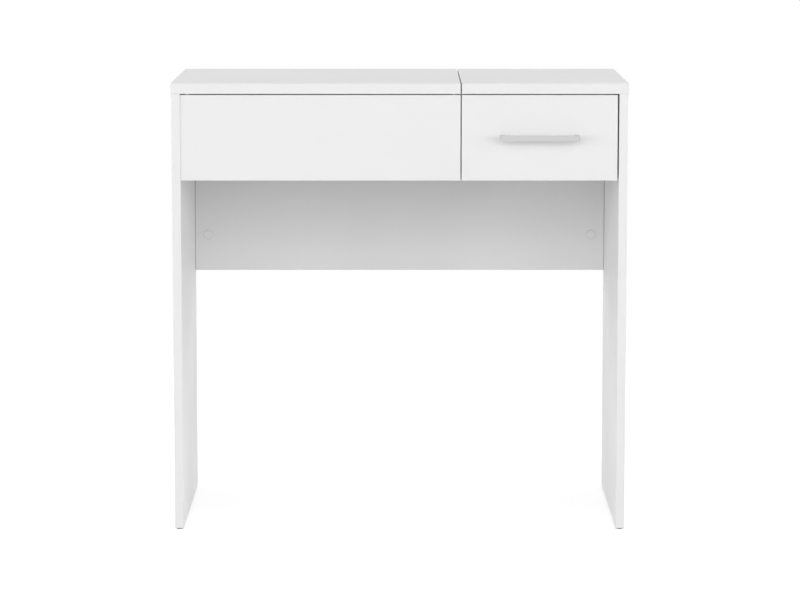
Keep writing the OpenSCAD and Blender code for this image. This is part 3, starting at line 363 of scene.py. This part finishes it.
# ---- Handle ----
# A square bow handle with softened corners, cast and finished in satin silver grey, held by two
# screws from inside the drawer front.
satin_grey = (0.60, 0.60, 0.60), (0.66, 0.66, 0.66)
satin = Finish("satin_grey_metal", Metallic=0.85)
brushed = satin.noise(scale=90.0, detail=4.0, at=satin.stretched((2.0, 40.0, 40.0)))
satin.shade(brushed, satin_grey, rough=0.36, spread=0.1)
satin.dent(brushed, depth=0.00001)
satin.cover("handle")


# ---- Runners and rollers ----
# Roller runners of folded steel with white powder coat, one pair on each side, with nylon rollers
# on riveted pins.
powder_white = (0.84, 0.84, 0.82), (0.80, 0.80, 0.785)
powder = Finish("white_powder_coat", IOR=1.5)
orange_peel = powder.noise(scale=800.0)
powder.shade(orange_peel, powder_white, rough=0.40, spread=0.12)
powder.dent(orange_peel, depth=0.00005)

nylon_white = (0.80, 0.80, 0.77), (0.74, 0.74, 0.70)
nylon = Finish("nylon", IOR=1.53)
flow = nylon.noise(scale=300.0, detail=3.0)
nylon.shade(flow, nylon_white, rough=0.42, spread=0.12)
nylon.dent(flow, depth=0.00002)

for member in ("cabinet", "drawer"):
    for hand in ("left", "right"):
        powder.cover(f"{member}_runner_{hand}")
        nylon.cover(f"{member}_roller_{hand}")


# ---- Screws ----
# Zinc plated steel screws with rolled threads and a cross recess in each head: pan heads for the
# sheet metal, sunk heads in the drawer's back, and two metric ones for the handle.
# Heads are drawn in parts of their radius and height, threads in parts of their radius.
quarter_turn = (-45.0, -30.0, -15.0, 0.0, 15.0, 30.0)
head_rim = 0.99
shank_end = 0.9
sharp_edge = 32.0
each_turned = 0.7
arm = 0.56
half_arm = arm * math.tan(math.radians(15.0))
pan_head = ((1.0, 0.0), (1.0, 0.35), (0.93, 0.7), (0.78, 0.92), (0.64, 1.0))
sunk_head = ((0.55, 0.0), (0.97, 0.85), (1.0, 0.92), (0.98, 1.0), (0.64, 1.0))
recess_narrows = 0.72
recess_floor = 0.2
thread_core = 0.72
rows_a_turn = 3
steps_a_turn = 12
turns_of_a_stud = 3.0
tip_taper = 1.6
tip_blunt = 0.0004


def solids(node):
    """The corners of each separate solid in a CAD node."""
    mesh = bmesh.new()
    mesh.from_mesh(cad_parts[node].data)
    bmesh.ops.remove_doubles(mesh, verts=mesh.verts, dist=1e-6)
    met = set()
    for start in mesh.verts:
        group = [start] if start not in met else []
        met.add(start)
        for corner in group:
            for edge in corner.link_edges:
                near = edge.other_vert(corner)
                if near not in met:
                    met.add(near)
                    group.append(near)
        if group:
            yield [corner.co.copy() for corner in group]
    mesh.free()


def skin(mesh, rings, place):
    """Closes a skin over rings that all have the same count of points."""
    rows = [[mesh.verts.new(place @ Vector(point)) for point in ring] for ring in rings]
    for near, far in zip(rows, rows[1:]):
        for i in range(len(near)):
            mesh.faces.new((near[i - 1], near[i], far[i], far[i - 1]))
    mesh.faces.new(rows[0])
    mesh.faces.new(rows[-1])


def cross(angle):
    """How far out the cross recess reaches at an angle, as a part of the radius given."""
    turn = math.radians(abs(angle))
    return min(arm / math.cos(turn), half_arm / max(math.sin(turn), 0.001))


def cut_screw(mesh, corners, pitch, sunk, turn):
    """A screw with head, recess and thread, where a plain CAD screw is."""
    low, high = (Vector(pick(c[i] for c in corners) for i in range(3)) for pick in (min, max))
    size = high - low
    long = min(range(3), key=lambda i: abs(size[i - 1] - size[i - 2]))
    middle = (low + high) / 2
    out = Vector(float(i == long) for i in range(3))
    reach = [((c - middle) - out * (c - middle).dot(out)).length for c in corners]
    head_r = max(reach)
    head = [c[long] for c, far in zip(corners, reach) if far > head_rim * head_r]
    height = max(head) - min(head)
    if sum(head) / len(head) < middle[long]:
        out = -out
    seat = middle + out * (size[long] / 2 - height)
    length = size[long] - height
    shank = shank_end * length
    thread_r = max(far for c, far in zip(corners, reach) if (seat - c).dot(out) > shank)
    place = Matrix.Translation(seat) @ out.to_track_quat("Z", "Y").to_matrix().to_4x4()
    place = place @ Matrix.Rotation(turn, 4, "Z")
    ways = [(90.0 * quarter, angle) for quarter in range(4) for angle in quarter_turn]

    def ring(radius, z, shape=lambda angle: 1.0):
        return [
            (
                radius * shape(angle) * math.cos(math.radians(base + angle)),
                radius * shape(angle) * math.sin(math.radians(base + angle)),
                z,
            )
            for base, angle in ways
        ]

    rings = [ring(head_r * r, height * z) for r, z in (sunk_head if sunk else pan_head)]
    rings.append(ring(head_r, height, cross))
    rings.append(ring(recess_narrows * head_r, recess_floor * height, cross))
    skin(mesh, rings, place)

    rows = int(length / pitch * rows_a_turn)
    tip = 0.0 if length < turns_of_a_stud * pitch else tip_taper * thread_r
    thread = []
    for row in range(rows + 1):
        z = -length * row / rows
        ends = min(1.0, (z + length + tip_blunt) / tip) if tip else 1.0
        points = []
        for step in range(steps_a_turn):
            wave = abs(2.0 * ((z / pitch + step / steps_a_turn) % 1.0) - 1.0)
            r = thread_r * (thread_core + (1.0 - thread_core) * wave) * ends
            turned = math.radians(360.0 / steps_a_turn * step)
            points.append((r * math.cos(turned), r * math.sin(turned), z))
        thread.append(points)
    skin(mesh, thread, place)


def fit(node, body, mesh):
    """Puts a mesh of cut screws in place of the CAD node that it stands for."""
    bmesh.ops.recalc_face_normals(mesh, faces=mesh.faces)
    data = bpy.data.meshes.new("cross_head_" + node)
    mesh.to_mesh(data)
    mesh.free()
    data.shade_smooth()
    data.set_sharp_from_angle(angle=math.radians(sharp_edge))
    data.materials.append(plated.material)
    piece = bpy.data.objects.new("cross_head_" + node, data)
    bpy.context.scene.collection.objects.link(piece)
    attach(piece, body)
    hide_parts(node)


for node, body, pitch in (
    ("angle_bracket_screws", "carcass", 0.0014),
    ("hinge_fixed_screws", "carcass", 0.0013),
    ("cabinet_runner_screws", "carcass", 0.0014),
    ("hinge_lid_screws", "lid", 0.0013),
    ("stay_bracket_screws", "lid", 0.0014),
    ("drawer_back_screws", "drawer", 0.0018),
    ("drawer_runner_screws", "drawer", 0.0014),
    ("handle_screws", "drawer", 0.0007),
):
    screws = bmesh.new()
    sunk = node == "drawer_back_screws"
    for count, corners in enumerate(solids(node)):
        cut_screw(screws, corners, pitch, sunk, turn=each_turned * count)
    fit(node, body, screws)


# ---- Studio ----
# A pale paper floor and a white backdrop all round, lit by a ring of soft lamps, the ones in front
# weaker. On the paper and the backdrop the lens sees plain white, but for the table's shadow.
def to_the_lens(tree):
    """1 for rays from the lens, directly, in reflections and through clear things."""
    path = tree.node("ShaderNodeLightPath")
    seen = path.of("Is Camera Ray").most(path.of("Is Glossy Ray"))
    return seen.most(path.of("Is Transmission Ray"))


pure_white = (1.0, 1.0, 1.0, 1.0)
sky_level = 0.11
world = bpy.data.worlds.new("white_backdrop")
bpy.context.scene.world = world
sky = Tree(world)
dim, bright = (
    sky.node("ShaderNodeBackground", {}, {"Color": pure_white, "Strength": level})
    for level in (sky_level, 1.0)
)
backdrop = sky.node("ShaderNodeMixShader", {}, {0: to_the_lens(sky), 1: dim, 2: bright})
sky.join(sky.nodes["World Output"].inputs["Surface"], backdrop)

floor_reach = 9.0
paper_tone = (0.6, 0.6, 0.6, 1.0)
paper_lift = 0.6
paper_fades = (1.0, 2.6)
floor_mesh = bpy.data.meshes.new("floor")
square = ((-1, -1), (1, -1), (1, 1), (-1, 1))
floor_corners = [(floor_reach * x, floor_reach * y, 0.0) for x, y in square]
floor_mesh.from_pydata(floor_corners, [], [(0, 1, 2, 3)])
floor = bpy.data.objects.new("floor", floor_mesh)
bpy.context.scene.collection.objects.link(floor)
paper_material = bpy.data.materials.new("white_paper")
paper = Tree(paper_material)
matt = paper.node("ShaderNodeBsdfDiffuse", {}, {"Color": paper_tone})
lift, white = (
    paper.node("ShaderNodeEmission", {}, {"Color": pure_white, "Strength": level})
    for level in (paper_lift, 1.0)
)
lifted = paper.node("ShaderNodeAddShader", {}, {0: matt, 1: lift})
far = paper.node("ShaderNodeVectorMath", {"operation": "LENGTH"}, {0: paper.place()}).of("Value")
shown = paper.node("ShaderNodeMixShader", {}, {0: far.above(*paper_fades), 1: lifted, 2: white})
sheet = paper.node("ShaderNodeMixShader", {}, {0: to_the_lens(paper), 1: matt, 2: shown})
paper.join(paper.nodes["Material Output"].inputs["Surface"], sheet)
floor_mesh.materials.append(paper_material)

lamp_far = 6.2
lamp_wide = 3.2
lamp_high = 2.0
lamp_aim = Vector((0.0, 0.0, 0.45))
# Degrees to each side of the front, degrees up, and watts of either lamp.
ring_of_lamps = (
    (15.0, 30.0, 24.0),
    (20.0, 15.0, 50.0),
    (40.0, 40.0, 12.0),
    (55.0, 8.0, 88.0),
    (90.0, 36.0, 108.0),
    (135.0, 20.0, 60.0),
    (165.0, 8.0, 66.0),
)
for aside, rise, power in ring_of_lamps:
    for side in (-1, 1):
        up_front = Vector((0.0, -math.cos(math.radians(rise)), math.sin(math.radians(rise))))
        way = Matrix.Rotation(math.radians(side * aside), 3, "Z") @ up_front
        light = bpy.data.lights.new("soft_lamp", "AREA")
        light.shape = "RECTANGLE"
        light.size = lamp_wide
        light.size_y = lamp_high
        light.energy = power
        lamp = bpy.data.objects.new("soft_lamp", light)
        lamp.location = lamp_aim + lamp_far * way
        lamp.rotation_euler = way.to_track_quat("Z", "Y").to_euler()
        lamp.visible_glossy = False
        bpy.context.scene.collection.objects.link(lamp)

# A long lens stands 1.15 m above the floor, 5.5 m in front of the table, and looks down at it.
sensor = 36.0
picture_wide = 800.0
focal_pixels = 3180.0
lens_at = (0.0006, -5.6588, 1.1536)
lens_down = 7.791
lens = bpy.data.cameras.new("lens")
lens.sensor_width = sensor
lens.lens = focal_pixels * sensor / picture_wide
lens.clip_end = 100.0
camera = bpy.data.objects.new("camera", lens)
camera.location = lens_at
camera.rotation_euler = (math.radians(90.0 - lens_down), 0.0, 0.0)
bpy.context.scene.collection.objects.link(camera)
bpy.context.scene.camera = camera
bpy.context.scene.view_settings.view_transform = "Standard"
